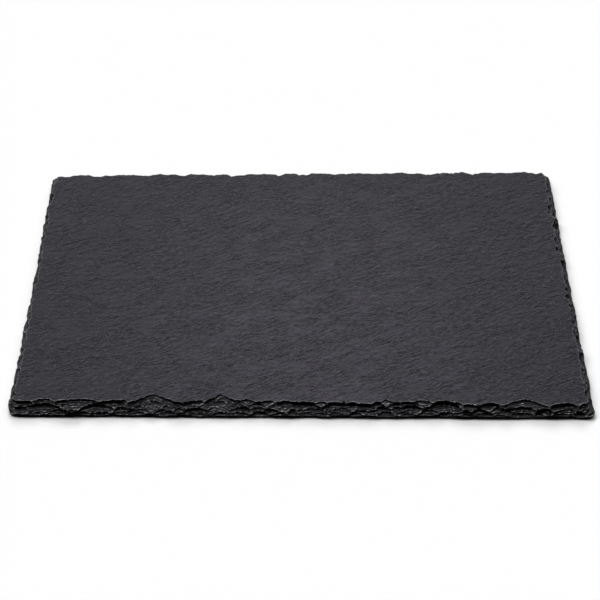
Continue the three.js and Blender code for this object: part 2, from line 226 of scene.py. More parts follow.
@dataclass(frozen=True)
class RivenSlate:
    """Charcoal slate, split along its cleavage and left as it broke.

    Slate is mud pressed into thin sheets of mica. Its split faces are matt and almost black, with a grain
    of fine ridges that catches low light, patch by patch; the grain's grooves are painted dark as shade and
    its ridges pale as highlight, and the middle of a face is painted paler as a broad pool of light. Where
    it was chipped it is rougher and bruised pale in spots, its proud lips and flecks are paler partly as
    wear and crushed stone and partly as painted highlight, and painted shade darkens it, most in the
    crevices.
    A pair of numbers says where something starts to show and where it shows fully, unless its comment says
    otherwise.
    """

    body: str = "#2b2931"  # mica and carbon: near black, and faintly blue
    pale: str = "#47454c"  # the backs of the ridges, painted highlight over the grain's own tone
    dark: str = "#1d1b22"  # the grooves between them, painted shade over the grain's own tone
    fresh_and_highlight: str = "#88878a"  # crushed stone, which has lost its colour; on the proud lips it is partly painted highlight
    crush_and_glint: str = "#c4c3c2"  # the freshest crushed stone, in flecks on the rim and the lips, partly painted glints
    # painted shade: near black, mixed over the chipped band and most of all into its crevices
    crevice_shade: str = "#0a0a0b"
    ior: float = 1.55  # mica's
    specular: float = 0.18  # low, because the broken sheets scatter what a polished stone would reflect
    roughness: Pair = (0.6, 0.85)  # on the ridges and in the grooves
    grain: float = GRAIN
    cloud: Grain = Grain(30, 12, 8, 3.0)  # faint stains, a few centimetres long
    streak: Grain = Grain(3.2, 1.2, 0.6, 4.0)  # ridges; real ones are 0.3 mm wide, too fine to show
    grit: Grain = Grain(0.85, 0.6, 0.4, 1.0)  # specks; real ones are 0.1 mm wide, too fine to show
    flake: Grain = Grain(4.6, 2.8, 2, 3.0)  # the outlines of paper-thin flakes
    patch: Grain = Grain(14, 8, 8, 1.0)  # where the fine grain is strong
    sheets: Grain = Grain(6, 3, 0.4, 3.0)  # bruises, which follow the sheets of the stone
    fleck: Grain = Grain(1.6, 1.0, 0.5, 2.0)  # crushed specks, partly painted glints; real ones are finer, too fine to show
    patch_range: Pair = (0.35, 0.65)  # of the patches' pattern
    contrast: Pair = (0.55, 1.75)  # of the fine grain outside its patches and inside them
    fine_range: Pair = (-0.2, 0.2)  # how far the fine grain swings
    clouding: float = 0.055  # how much the clouds change the tone
    ramp: Pair = (-0.17, 0.25)  # the tones that turn dark and pale
    painted_highlight: Pair = (-0.032, 0.118)  # painted highlight: tone added far from the paler middle and in it
    highlight_middle: Pair = (6, -45)  # the middle of that painted pool of light in plan
    highlight_radius: Pair = (165, 240)  # how far it reaches along X and Y
    lips: Pair = (0.25, 0.95)  # how proud a lip stands to be paled, partly as wear and partly as painted highlight
    wear_and_highlight: float = 0.95  # how pale it is then, wear and painted highlight together
    bruises: Pair = (0.53, 0.7)  # of the bruises' pattern
    bruise: float = 0.5  # how pale a bruise is
    flecks: Pair = (0.53, 0.63)  # of the flecks' pattern
    flecked: Pair = (0.05, 0.55)  # how proud the stone stands where it is flecked
    knock: Pair = (0.5, 1.0)  # how far it was chipped there
    shade_hollows: Pair = (-0.5, 0.6)  # painted shade: how proud a point is where it is fully shaded and where not at all
    sunk: float = 0.9  # how much painted shade it gets then
    relief: float = 0.68  # height of the fine relief in millimetres
    flake_levels: float = 25  # flakes that lie above each other over the whole swing
    flake_rise: float = 0.067  # height of one flake's edge in millimetres

    def place(
        self, tree: Tree, size: tuple[float, ...], turn: float = 0.0, middle: tuple[float, ...] = (0, 0, 0)
    ) -> Socket:
        """Adds coordinates that run from 0 to 1 over a size in millimetres, turned about Z.

        Args:
            tree: the material's node tree.
            size: the size along X, Y and Z.
            turn: how far the axes are turned.
            middle: where the coordinates are 0.

        Returns:
            The coordinates.
        """
        stone = add_node(tree, "TexCoord").outputs["Object"]
        location, scale = ([MM * side for side in sides] for sides in (middle, size))
        inputs = [stone, location, (0, 0, turn), scale]
        return add_node(tree, "Mapping", inputs, vector_type="TEXTURE").outputs[0]

    def spots(self, tree: Tree, grain: Grain) -> Socket:
        """Adds one scale of the stone's texture.

        Args:
            tree: the material's node tree.
            grain: the texture's sizes.

        Returns:
            A value of about 0.5 that swings up and down.
        """
        place = self.place(tree, (grain.along, grain.across, grain.through), self.grain)
        inputs = {"Vector": place, "Scale": 1.0, "Detail": grain.detail}
        return add_node(tree, "TexNoise", inputs).outputs["Fac"]

    def fine_grain(self, tree: Tree) -> Socket:
        """Adds the fine grain, which is streaks with grit in them, strong in some patches only.

        Args:
            tree: the material's node tree.

        Returns:
            A value that swings about 0.
        """
        streak, grit, patch = (self.spots(tree, grain) for grain in (self.streak, self.grit, self.patch))
        both = add_node(tree, "Math", [streak, grit], operation="ADD").outputs[0]
        swing = add_node(tree, "Math", [both, 1.0], operation="SUBTRACT").outputs[0]
        contrast = add_node(tree, "MapRange", [patch, *self.patch_range, *self.contrast]).outputs[0]
        return add_node(tree, "Math", [swing, contrast], operation="MULTIPLY").outputs[0]

    def split_colour(self, tree: Tree, fine: Socket) -> Socket:
        """Adds the colour of a split face: grain over faint clouds, and paler in the middle as a painted
        highlight.

        Args:
            tree: the material's node tree.
            fine: the fine grain.

        Returns:
            The colour.
        """
        # Painted highlight: a broad pool of light, paler towards a middle that lies a little to the front.
        size = (*self.highlight_radius, self.highlight_radius[0])
        place = self.place(tree, size, middle=(*self.highlight_middle, 0))
        near = add_node(tree, "TexGradient", [place], gradient_type="SPHERICAL").outputs["Fac"]
        inputs = [near, 0, 1, *self.painted_highlight]
        painted_highlight = add_node(tree, "MapRange", inputs, interpolation_type="SMOOTHSTEP").outputs[0]
        inputs = [self.spots(tree, self.cloud), self.clouding, painted_highlight]
        broad = add_node(tree, "Math", inputs, operation="MULTIPLY_ADD").outputs[0]
        tone = add_node(tree, "Math", [broad, fine], operation="ADD").outputs[0]
        # The grain that raises the bump also picks the colour, so its grooves are painted dark as shade and
        # its ridges pale as highlight.
        share = add_node(tree, "MapRange", [tone, *self.ramp]).outputs[0]
        ramp = add_node(tree, "ValToRGB", [share])
        ramp.color_ramp.elements[0].color = linear(self.dark)
        ramp.color_ramp.elements[1].color = linear(self.pale)
        ramp.color_ramp.elements.new(0.5).color = linear(self.body)
        return ramp.outputs[0]

    def broken_colour(self, tree: Tree, split: Socket, chipped: Socket) -> Socket:
        """Changes the colour where the stone was chipped: pale bruises, lips and flecks, and painted shade.

        The pale lips and flecks are partly painted highlight, and the painted shade is deepest in the
        crevices.

        Args:
            tree: the material's node tree.
            split: the colour of a split face.
            chipped: how far the stone was chipped, from 0 to 1.

        Returns:
            The colour.
        """
        proud = add_node(tree, "Attribute", attribute_name="proud").outputs["Fac"]
        ranges = (
            [proud, *self.lips, 0, self.wear_and_highlight],
            [self.spots(tree, self.sheets), *self.bruises, 0, self.bruise],
            [self.spots(tree, self.fleck), *self.flecks],
            [proud, *self.flecked],
            [chipped, *self.knock],
            [proud, *self.shade_hollows, self.sunk, 0],
        )
        found = (add_node(tree, "MapRange", inputs).outputs[0] for inputs in ranges)
        wear_and_highlight, bruised, fleck, high, knocked, hollow = found
        # The proud lips are paled partly as wear and partly as painted highlight.
        paler = add_node(tree, "Math", [wear_and_highlight, bruised], operation="MAXIMUM").outputs[0]
        # Flecks on the proud points: partly crushed stone, partly painted glints.
        flecked = add_node(tree, "Math", [fleck, high], operation="MULTIPLY").outputs[0]
        # The crevice colour is painted shade over the chipped band, deepest where the stone is sunk.
        coats = (
            (self.fresh_and_highlight, paler, chipped), (self.crush_and_glint, flecked, knocked), (self.crevice_shade, hollow, chipped)
        )
        colour = split
        for coat, amount, where in coats:
            share = add_node(tree, "Math", [amount, where], operation="MULTIPLY").outputs[0]
            inputs = {0: share, MIX_FROM: colour, MIX_TO: linear(coat)}
            colour = add_node(tree, "Mix", inputs, data_type="RGBA").outputs[MIX_RESULT]
        return colour

    def fine_relief(self, tree: Tree, fine: Socket) -> Socket:
        """Adds the relief that is too fine for the mesh: the grain, and the crisp edges of thin flakes.

        Args:
            tree: the material's node tree.
            fine: the fine grain.

        Returns:
            The surface's direction.
        """
        inputs = [self.spots(tree, self.flake), 1 / self.flake_levels]
        level = add_node(tree, "Math", inputs, operation="SNAP").outputs[0]
        inputs = [level, self.flake_levels * self.flake_rise / self.relief, fine]
        height = add_node(tree, "Math", inputs, operation="MULTIPLY_ADD").outputs[0]
        inputs = {"Height": height, "Distance": self.relief * MM, "Strength": 1.0}
        return add_node(tree, "Bump", inputs).outputs[0]

    def material(self) -> bpy.types.Material:
        """Builds the finish.

        Returns:
            The material.
        """
        made = bpy.data.materials.new("riven_slate")
        made.use_nodes = True
        tree = made.node_tree
        tree.nodes.clear()
        fine = self.fine_grain(tree)
        chipped = add_node(tree, "Attribute", attribute_name="chipped").outputs["Fac"]
        inputs = {
            "Base Color": self.broken_colour(tree, self.split_colour(tree, fine), chipped),
            "Roughness": add_node(tree, "MapRange", [fine, *self.fine_range, *self.roughness]).outputs[0],
            "IOR": self.ior,
            "Specular IOR Level": self.specular,
            "Normal": self.fine_relief(tree, fine),
        }
        add_node(tree, "OutputMaterial", [add_node(tree, "BsdfPrincipled", inputs).outputs[0]])
        return made


@dataclass(frozen=True)
class Swell:
    """One scale of relief: the length, width and height of its swings in millimetres, and its seed."""

    along: float
    across: float
    height: float
    seed: int

    def at(self, along: Array, across: Array) -> Array:
        """Its height at places along and across the grain."""
        return self.height * ripple(along / self.along, across / self.across, self.seed)


@dataclass(frozen=True)
class Wobble:
    """How a line wanders: how far either way, over what length, and its seed."""

    size: float
    length: float
    seed: int

    def at(self, distance: Array | float, shift: int = 0) -> Array | float:
        """How far it has wandered at a distance, with the seed shifted."""
        return self.size * wave(distance / self.length, self.seed + shift)


@dataclass(frozen=True)
class Grid:
    """A grid of points over a face: its steps along X and Y, and its least distance from the face's rim."""

    x: float
    y: float
    margin: float


@dataclass(frozen=True)
class Chip:
    """A chip on one side of the slab, in millimetres.

    Its middle is `at` along the side, and it is `half` wide to each end. It reaches in from the arris
    over a floor that rises from `low` there to `high` at its apex. A crest of 2 is a round arc, more is
    flatter and less is pointed.
    """

    at: float
    half: float
    reach: float
    crest: float
    low: float
    high: float

    @property
    def clean(self) -> float:
        """How clean the break is, from 0 for one that steps along the stone's layers to 1."""
        return min(max((self.half - CLEAN[0]) / (CLEAN[1] - CLEAN[0]), 0), 1)


def chips(*rows: tuple[float, ...]) -> tuple[Chip, ...]:
    """Makes a chip of each row of its place, half width, reach, crest and two heights."""
    return tuple(Chip(*row) for row in rows)


@dataclass(frozen=True)
class Tier:
    """A row of chips round the slab.

    `pitch` and `reach` are shares of the side's own, and `low` and `high` are the heights of the chips'
    floors. The pairs are the ends between which a chip's measures are drawn: its place and half width in
    shares of the pitch, its reach in shares of the tier's, and how far its two heights differ.
    """

    pitch: float
    reach: float
    low: float
    high: float
    places: Pair = (0.1, 0.9)
    halves: Pair = (0.4, 0.9)
    reaches: Pair = (0.75, 1.45)
    crests: Pair = (1.4, 3.0)
    lows: Pair = (-0.3, 0.3)
    highs: Pair = (-0.55, 0.55)


@dataclass(frozen=True)
class Nicks:
    """The small nicks that break the slope between the chips.

    A nick's half width and reach are the first number, and up to the second more. The reach is in shares
    of the rim's inset. `sunk` is how far its floor lies below the slope, and `rise` how far that rises.
    """

    pitch: float = 2.2
    half: Pair = (0.7, 2.3)
    reach: Pair = (0.15, 0.95)
    sunk: Pair = (0.5, 1.2)
    crests: Pair = (1.0, 2.5)
    rise: float = 0.3


@dataclass(frozen=True)
class Scar:
    """What a chip left: where its middle is in plan, the way it runs and the way into the slab."""

    chip: Chip
    x: float
    y: float
    along: Pair
    inward: Pair

    def floor(self, x: Array, y: Array) -> Array:
        """Works out the height that the chip leaves.

        Args:
            x: places in plan along X.
            y: places in plan along Y.

        Returns:
            The height at each place, or infinity outside the chip.
        """
        chip, dx, dy = self.chip, x - self.x, y - self.y
        across = np.abs(dx * self.along[0] + dy * self.along[1]) / chip.half
        depth = (dx * self.inward[0] + dy * self.inward[1]) / chip.reach
        near = depth + np.minimum(across, 1) ** chip.crest
        rise = chip.low + (chip.high - chip.low) * np.maximum(depth, 0)
        rings = RIPPLE * np.sin(math.tau * near * chip.reach / RING)
        return np.where((across < 1) & (near < 1), rise + BOWL * across**2 + rings, np.inf)


@dataclass(frozen=True)
class Edge:
    """One side of the slab, run anticlockwise as seen from above.

    `bevel` is how far in the rim lies at the side's start and its end, where no chip has moved it, `bow`
    is how far the side is hollowed in its middle, `pitch` is the distance between chips where none are
    listed, and `spacing` is the distance between the mesh's columns. `wear` is how plainly the chips show
    their bruises, pale lips and flecks and their painted shade, and `knocked` is the same for the rim, both
    from 0 to 1; the pale lips and flecks are partly painted highlight. `jag` is how far the arris's small
    notches swing.
    """

    start: Pair
    end: Pair
    bevel: Pair
    bow: float
    seed: int
    pitch: float = 0.0
    listed: tuple[tuple[Chip, ...], ...] = ()
    spacing: float = 0.8
    wear: float = 0.6
    knocked: float = 0.2
    jag: float = 0.35

    @property
    def length(self) -> float:
        """The side's length."""
        return math.dist(self.start, self.end)

    @property
    def along(self) -> Pair:
        """The way the side runs."""
        return tuple((b - a) / self.length for a, b in zip(self.start, self.end))

    @property
    def inward(self) -> Pair:
        """The way into the slab, square to the side."""
        return (-self.along[1], self.along[0])

    def rim(self, distance: float) -> float:
        """How far in the rim lies at a distance along the side."""
        share = distance / self.length
        return self.bevel[0] * (1 - share) + self.bevel[1] * share

    def tier_chips(self, tier: Tier, level: int) -> list[Chip]:
        """Draws the chips of one tier, about one every pitch.

        Args:
            tier: the tier.
            level: its place, from the rim down.

        Returns:
            The chips.
        """
        pitch = self.pitch * tier.pitch
        count = round(self.length / pitch)
        seed = self.seed + TIER_SEEDS * level
        middle = 0.5 * (self.bevel[0] + self.bevel[1])
        return [
            Chip(
                at=(n + between(tier.places, n, seed)) * (self.length / count),
                half=pitch * between(tier.halves, n, seed + 1),
                reach=middle * tier.reach * between(tier.reaches, n, seed + 2),
                crest=between(tier.crests, n, seed + 3),
                low=tier.low + between(tier.lows, n, seed + 4),
                high=tier.high + between(tier.highs, n, seed + 5),
            )
            for n in range(count)
        ]

    def nick_chips(self, nicks: Nicks, wall: float, top: float) -> list[Chip]:
        """Draws the side's nicks.

        Args:
            nicks: what they are like.
            wall: the height of the slope's foot.
            top: the height of the rim.

        Returns:
            The nicks.
        """
        count, seed = round(self.length / nicks.pitch), self.seed + NICK_SEED
        made = []
        for n in range(count):
            share = chance(n, seed)
            place = (n + chance(n, seed + 1)) * (self.length / count)
            floor = wall + (top - wall) * share - between(nicks.sunk, n, seed + 2)
            half = nicks.half[0] + nicks.half[1] * chance(n, seed + 3) ** 2
            reach = self.rim(place) * (nicks.reach[0] + nicks.reach[1] * share)
            crest = between(nicks.crests, n, seed + 4)
            made.append(Chip(place, half, reach, crest, floor - nicks.rise, floor))
        return made

    def scars(self, tiers: tuple[Tier, ...], nicks: list[Chip]) -> list[Scar]:
        """Lays out every chip of the side, tier by tier.

        Args:
            tiers: the tiers, from the rim down.
            nicks: the side's nicks.

        Returns:
            The scars, in plan coordinates.
        """
        rows = list(self.listed) or [self.tier_chips(tier, level) for level, tier in enumerate(tiers)]
        made = []
        for chip in (chip for row in (*rows, nicks) for chip in row):
            x, y = (start + chip.at * along for start, along in zip(self.start, self.along))
            made.append(Scar(chip, x, y, self.along, self.inward))
        return made


@dataclass(frozen=True)
class Layers:
    """Layers that the slate parts in, which turn its broken slopes into steps. Millimetres.

    `hold` is how far the slopes follow the layers, on a rough break and a clean one, from 0 to 1, `riser`
    is the share of a layer's height that its step takes to rise, and `drift` is how the layers wander.
    """

    thickness: float
    hold: Pair
    riser: float
    drift: tuple[Swell, ...]

    def split(self, height: Array, clean: Array, x: Array, y: Array) -> Array:
        """Steps a surface.

        Args:
            height: the surface's heights.
            clean: how clean the break is, from 0 to 1.
            x: its places in plan along X.
            y: its places in plan along Y.

        Returns:
            The stepped heights.
        """
        drift = sum(swell.at(x, y) for swell in self.drift)
        level = (height + drift) / self.thickness
        whole = np.floor(level)
        stepped = (whole + step(level - whole, self.riser)) * self.thickness - drift
        hold = self.hold[0] + (self.hold[1] - self.hold[0]) * clean
        return height + hold * (stepped - height)


@dataclass(frozen=True)
class Cleavage:
    """The relief that splitting leaves on a face of slate, in millimetres.

    The face swells at every scale, longer along the grain than across it, and drops here and there by
    the edge of a thin flake. The small swells and flakes come in patches, about a usual strength of
    `evenness`. A flake is `flake` thick, and its edge takes up the share `riser` of it. `deepest` is the
    most that the face lies in from its plane, and it swings about half of that.
    """

    grain: float = GRAIN
    bend: Swell = Swell(24, 15, 1.6, 0)
    broad: tuple[Swell, ...] = (Swell(80, 60, 0.12, 1), Swell(22, 12, 0.07, 2), Swell(8, 5, 0.12, 3))
    small: tuple[Swell, ...] = (Swell(3.8, 2.4, 0.21, 4), Swell(2.1, 1.3, 0.2, 5))
    patch: Swell = Swell(22, 13, 0.5, 6)
    flakes: tuple[Swell, ...] = (Swell(26, 9, 2.4, 7), Swell(6, 3, 1.1, 8), Swell(2.8, 1.5, 0.6, 9))
    evenness: float = 0.8
    flake: float = 0.08
    riser: float = 0.35
    deepest: float = 1.2

    def depth(self, x: Array, y: Array, face: Face) -> Array:
        """Works out how far in the face lies.

        Args:
            x: places in plan along X.
            y: places in plan along Y.
            face: which face it is.

        Returns:
            The depth below the face's plane at each place.
        """
        along = x * math.cos(self.grain) + y * math.sin(self.grain) + face.value
        across = y * math.cos(self.grain) - x * math.sin(self.grain) + face.value
        across = across + self.bend.at(along, across)
        patches = self.evenness + self.patch.at(along, across)
        relief = sum(swell.at(along, across) for swell in self.broad)
        relief = relief + patches * sum(swell.at(along, across) for swell in self.small)
        level = sum(swell.at(along, across) for swell in self.flakes)
        whole = np.floor(level)
        relief = relief + self.flake * patches * (whole + step(level - whole, self.riser))
        middle = self.deepest / 2
        return np.clip(middle - relief, 0, self.deepest)


@dataclass(frozen=True)
class Strips:
    """The columns of the chipped band, one for each place round the slab.

    For each, `inner` is its inner end in plan and `outward` the way from there to the arris, which is
    `reach` away. `rim` is how far in the rim lies where no chip has moved it, `wear` and `knocked` are
    its side's, and `side` is that side's number.
    """

    inner: Array
    outward: Array
    reach: Array
    rim: Array
    wear: Array
    knocked: Array
    side: Array

    def place(self, inset: Array) -> tuple[Array, Array]:
        """Turns distances in from the arris into plan coordinates.

        Args:
            inset: for each column, one distance or a row of them.

        Returns:
            X and Y of each.
        """
        shape = (-1,) + (1,) * (inset.ndim - 1)
        out = self.reach.reshape(shape) - inset
        inner, outward = (values.T.reshape(2, *shape) for values in (self.inner, self.outward))
        return inner[0] + outward[0] * out, inner[1] + outward[1] * out


@dataclass
class SlateSlab:
    """The slab: its sizes, how it was sheared and chipped, and how fine its mesh is. Millimetres."""

    width: float = 300.0
    depth: float = 202.0
    front_rake: float = 1.9  # the front edge's left end is set back by this much
    back_rake: float = 3.3  # the back edge's left end is set forward by this much
    thickness: float = 6.5
    arris_height: float = 1.1  # the outermost line, which the shear left, is this high
    undercut: float = 1.5  # the flat underside starts this far in from the arris
    lean: float = 0.5  # the arris and the undercut grow by this share towards the right end
    hollow: Pair = (0.42, 0.3)  # the undercut's middle, in shares of its width and height
    wall: float = 4.0  # height of the steep foot of the sheared face
    wall_share: float = 0.1  # the foot takes up this share of the face's depth
    nicks: Nicks = Nicks()
    corner_radius: float = 4.0  # of the corners, rounded by wear, seen from above
    corner_chip: float = 9.0  # half the width of the chip across each corner
    corner_reach: float = 0.6  # its reach, as a share of the two sides' bevels together
    band: float = 12.0  # width of the band that may be chipped
    fan_radius: float = 2.0  # of the inner end of the band at each corner
    arris_wobble: Wobble = Wobble(0.3, 9, 20)
    jags: Wobble = Wobble(1.0, 2.3, 30)  # small notches in the arris, which each side scales
    rim_wobble: Wobble = Wobble(0.5, 5, 21)
    foot_wobble: Wobble = Wobble(0.15, 5, 61)  # of the underside's rim, by the column
    rise_wobble: Wobble = Wobble(0.12, 4, 62)  # of the arris's height, by the column
    ragged: tuple[Swell, ...] = (Swell(11, 11, 0.7, 71), Swell(3.6, 3.6, 0.5, 72), Swell(1.4, 1.4, 0.3, 73))
    ragged_shift: float = 400.0  # Y is bent by another part of the pattern, this far off
    layers: Layers = Layers(0.9, (0.95, 0.2), 0.15, (Swell(14, 14, 0.6, 81), Swell(4, 4, 0.35, 82)))
    rough: tuple[Swell, ...] = (Swell(4, 1.1, 0.2, 91), Swell(1.8, 0.7, 0.15, 92))  # of the broken faces
    evened: float = 0.75  # a clean break lacks this share of the roughness
    end_rough: float = 0.15  # share of the roughness that stays at the arris and at the rim
    layer_gap: float = 0.05  # the layers' steps stay this far below the rim's height
    least_inset: float = 0.02  # no point of the broken face lies further out
    least_height: float = 0.2  # nor any lower
    probe: float = 0.05  # the profiles are worked out at this step
    column_run: float = 0.75  # the columns' mean distance, for the roughness
    corner_columns: int = 24
    chipped_rows: int = 35
    rim_rows: int = 6
    rim_ease: float = 1.3  # above 1, the rows inside the rim lie closer together next to it
    upper_grid: Grid = Grid(1.55, 0.8, 0.5)
    under_grid: Grid = Grid(4.0, 3.0, 1.2)
    under_relief: float = 0.8  # the underside's relief beside the upper face's
    upper_part: Pair = (0.0, 0.58)  # the upper face's place up the flat map of the surface
    under_part: Pair = (0.59, 0.84)  # the underside's
    edge_part: Pair = (0.85, 1.0)  # the four edges, above each other
    edge_gap: float = 0.05  # between two edges there, as a share of an edge's own place
    lip: float = 0.12  # a point that stands this far out of its neighbours is fully proud
    sharp: float = math.radians(42)  # an edge that turns by more than this is shaded as a sharp one
    cleavage: Cleavage = Cleavage()
    finish: RivenSlate = RivenSlate()
    # The front edge's chips, from its left end: those at the rim, half way down and at the foot.
    rim_chips: tuple[Chip, ...] = chips(
        (8, 9, 5.7, 3, 3.9, 4.4), (18, 12, 6.9, 2.1, 5.0, 5.6), (28, 11, 6.2, 2, 4.8, 5.3),
        (38, 12, 7.0, 3.5, 4.6, 5.2), (53, 13.5, 6.3, 2.2, 4.2, 4.7), (59, 8.5, 6.7, 1.5, 5.0, 5.6),
        (65, 10, 6.3, 1.8, 4.5, 5.0), (74.5, 20, 10.6, 1.2, 2.8, 6.2), (87.5, 8.5, 5.4, 1.5, 4.2, 4.7),
        (96, 9, 6.7, 3, 4.4, 4.9), (109, 17, 10.6, 1.2, 2.8, 6.2), (117.5, 8.5, 7.2, 1.5, 4.6, 5.1),
        (122.5, 10, 7.4, 1.7, 5.0, 5.6), (127.5, 8.5, 6.4, 1.5, 4.2, 4.7), (133.5, 8.5, 6.7, 2, 4.8, 5.3),
        (143, 13.5, 6.8, 1.8, 3.9, 4.4), (150, 13, 5.8, 3, 3.4, 3.9), (160, 7.5, 6.2, 1.8, 5.0, 5.6),
        (168, 10, 6.0, 2.2, 3.7, 4.2), (171.4, 1.8, 7.4, 1.2, 5.0, 6.0), (176, 8.5, 5.8, 2.2, 3.6, 4.1),
        (181.5, 9.5, 4.8, 2.2, 3.6, 4.1), (189, 7.5, 6.2, 1.5, 4.2, 4.7), (193.5, 8.5, 7.9, 1.3, 5.2, 5.8),
        (199, 8.5, 6.2, 1.5, 4.2, 4.7), (205, 12, 6.2, 2, 4.4, 4.9), (212, 11, 6.8, 2, 5.0, 5.6),
        (223, 11.5, 7.4, 2, 3.2, 3.7), (229, 8.5, 6.0, 1.5, 4.9, 5.4), (236, 10, 5.0, 2, 4.4, 4.9),
        (246, 9, 6.0, 2.6, 4.1, 4.6), (264, 17, 8.2, 1.5, 4.8, 5.3), (284.5, 9.5, 6.2, 2.4, 4.0, 4.5),
        (295, 7, 5.3, 1.5, 3.8, 4.8),
    )
    middle_chips: tuple[Chip, ...] = chips(
        (17, 15, 5.3, 1.7, 2.7, 3.2), (46, 11.5, 4.9, 2.2, 2.8, 3.3), (60, 8, 3.4, 2, 2.8, 3.3),
        (67, 5, 5.2, 2, 3.4, 3.9), (66, 8.5, 3.0, 2, 2.5, 3.0), (75, 8.5, 7.0, 2, 3.9, 4.3),
        (81, 4, 4.6, 2, 3.3, 3.8), (88, 5, 3.2, 2, 2.6, 3.1), (97, 10, 3.8, 1.8, 2.3, 2.8),
        (102, 4, 4.2, 2, 3.5, 4.0), (108, 9, 7.2, 2.4, 3.9, 4.3), (105, 4.5, 5.4, 2, 3.4, 3.9),
        (119, 8.5, 3.8, 2, 2.5, 3.0), (128.5, 7, 4.0, 2, 2.7, 3.2), (135, 9, 2.8, 1.6, 2.3, 2.8),
        (141, 4, 5.0, 2, 3.2, 3.7), (156, 11, 3.4, 2, 2.4, 2.9), (163, 4, 4.6, 2, 3.1, 3.6),
        (170, 8, 3.8, 2.4, 2.6, 3.1), (181, 6, 2.6, 2, 2.3, 2.8), (191, 6, 4.2, 2, 2.6, 3.1),
        (199, 4, 4.2, 2, 2.8, 3.3), (206, 8, 4.8, 2.6, 2.7, 3.2), (216, 6, 3.0, 2, 2.2, 2.6),
        (229, 6, 3.4, 2, 2.6, 3.1), (241, 6, 3.8, 1.5, 2.5, 3.0), (250, 5, 4.7, 1.6, 2.8, 3.3),
        (254, 8, 3.4, 2, 2.6, 3.1), (262, 10, 4.4, 2.2, 2.9, 3.4), (275, 5, 2.8, 2, 2.6, 3.1),
        (285, 7.5, 3.9, 2, 2.7, 3.2),
    )
    foot_chips: tuple[Chip, ...] = chips(
        (6, 8, 3.8, 2, 2.2, 2.6), (15, 6, 2.4, 1.6, 1.8, 2.3), (25, 6.5, 2.6, 2, 1.8, 2.3),
        (38.5, 5, 1.7, 2, 1.7, 2.2), (48.5, 5.5, 1.6, 2, 1.5, 2.0), (56, 3, 3.0, 1.6, 2.0, 2.7),
        (63, 9, 2.3, 2, 1.7, 2.2), (79, 5, 2.7, 2, 2.2, 2.6), (82, 6, 1.9, 1.6, 1.6, 2.1),
        (90, 4, 1.7, 2, 1.6, 2.1), (98, 8, 2.2, 1.8, 1.5, 2.0), (109, 5, 1.5, 2, 1.7, 2.2),
        (118, 6, 1.7, 2, 1.5, 2.0), (129, 5, 2.2, 2, 1.3, 1.7), (138, 5, 1.6, 2, 1.8, 2.3),
        (146, 3.5, 3.4, 1.6, 1.8, 2.6), (153, 5, 1.8, 2, 1.8, 2.2), (160.5, 4.5, 1.6, 2, 1.5, 1.9),
        (168, 6, 1.8, 1.6, 1.9, 2.4), (178, 5, 1.6, 2, 1.8, 2.2), (187, 4, 2.6, 2, 2.0, 2.5),
        (193, 5, 1.9, 2, 1.6, 2.0), (203, 5.5, 2.2, 2, 1.8, 2.3), (212, 4, 2.1, 2, 2.1, 2.5),
        (224, 6, 1.9, 2, 1.7, 2.1), (234, 5, 2.0, 2, 1.9, 2.4), (244, 4.5, 1.9, 2, 1.8, 2.2),
        (252, 4.5, 2.4, 2, 2.0, 2.5), (262, 7, 2.2, 2.4, 1.6, 2.0), (271, 3.5, 2.3, 2, 2.0, 2.5),
        (283, 5.5, 2.1, 2, 1.9, 2.4), (292, 4, 1.9, 2, 1.8, 2.2),
    )
    tiers: tuple[Tier, ...] = (
        Tier(pitch=1, reach=1.15, low=4.4, high=4.9),
        Tier(pitch=1.3, reach=0.7, low=2.7, high=3.2),
        Tier(pitch=0.9, reach=0.35, low=1.6, high=2.1),
    )

    def edges(self) -> list[Edge]:
        """Lays out the four sides.

        Returns:
            The front, right, back and left side.
        """
        half_width, half_depth = self.width / 2, self.depth / 2
        front_left = (-half_width, self.front_rake - half_depth)
        front_right = (half_width, -half_depth)
        back_right = (half_width, half_depth)
        back_left = (-half_width, half_depth - self.back_rake)
        front = (self.rim_chips, self.middle_chips, self.foot_chips)
        # The front's chips carry the most pale lips, flecks and painted shade, and the back the least.
        return [
            Edge(
                front_left, front_right, (5.4, 4.2), bow=0, seed=11,
                listed=front, spacing=0.6, wear=1, knocked=1, jag=0.12,
            ),
            Edge(front_right, back_right, (3.8, 3.2), bow=0.2, seed=23, pitch=9, knocked=0.6),
            Edge(back_right, back_left, (2.8, 2.8), bow=0, seed=37, pitch=11, spacing=1.1, wear=0.3),
            Edge(back_left, front_left, (2.3, 2.6), bow=0.7, seed=53, pitch=8, knocked=0.6, jag=0.5),
        ]

    def corners(self) -> list[tuple[Edge, Edge]]:
        """Pairs each side with the one after it, with which it makes a corner."""
        edges = self.edges()
        return list(zip(edges, edges[1:] + edges[:1]))

    def corner_scars(self, edge: Edge, after: Edge) -> list[Scar]:
        """Makes the chips across a corner, which face along its bisector.

        Args:
            edge: the side that ends at the corner.
            after: the side that starts there.

        Returns:
            The scars, one a tier.
        """
        bisector = Vector(edge.inward) + Vector(after.inward)
        inward = tuple(bisector.normalized())
        inset = self.corner_radius * (math.sqrt(2) - 1)
        reach = self.corner_reach * (edge.bevel[1] + after.bevel[0])
        x, y = (end + way * inset for end, way in zip(edge.end, inward))
        made = []
        for tier in self.tiers:
            half = self.corner_chip * tier.pitch
            chip = Chip(at=0, half=half, reach=reach * tier.reach, crest=2, low=tier.low, high=tier.high)
            made.append(Scar(chip, x, y, (inward[1], -inward[0]), inward))
        return made

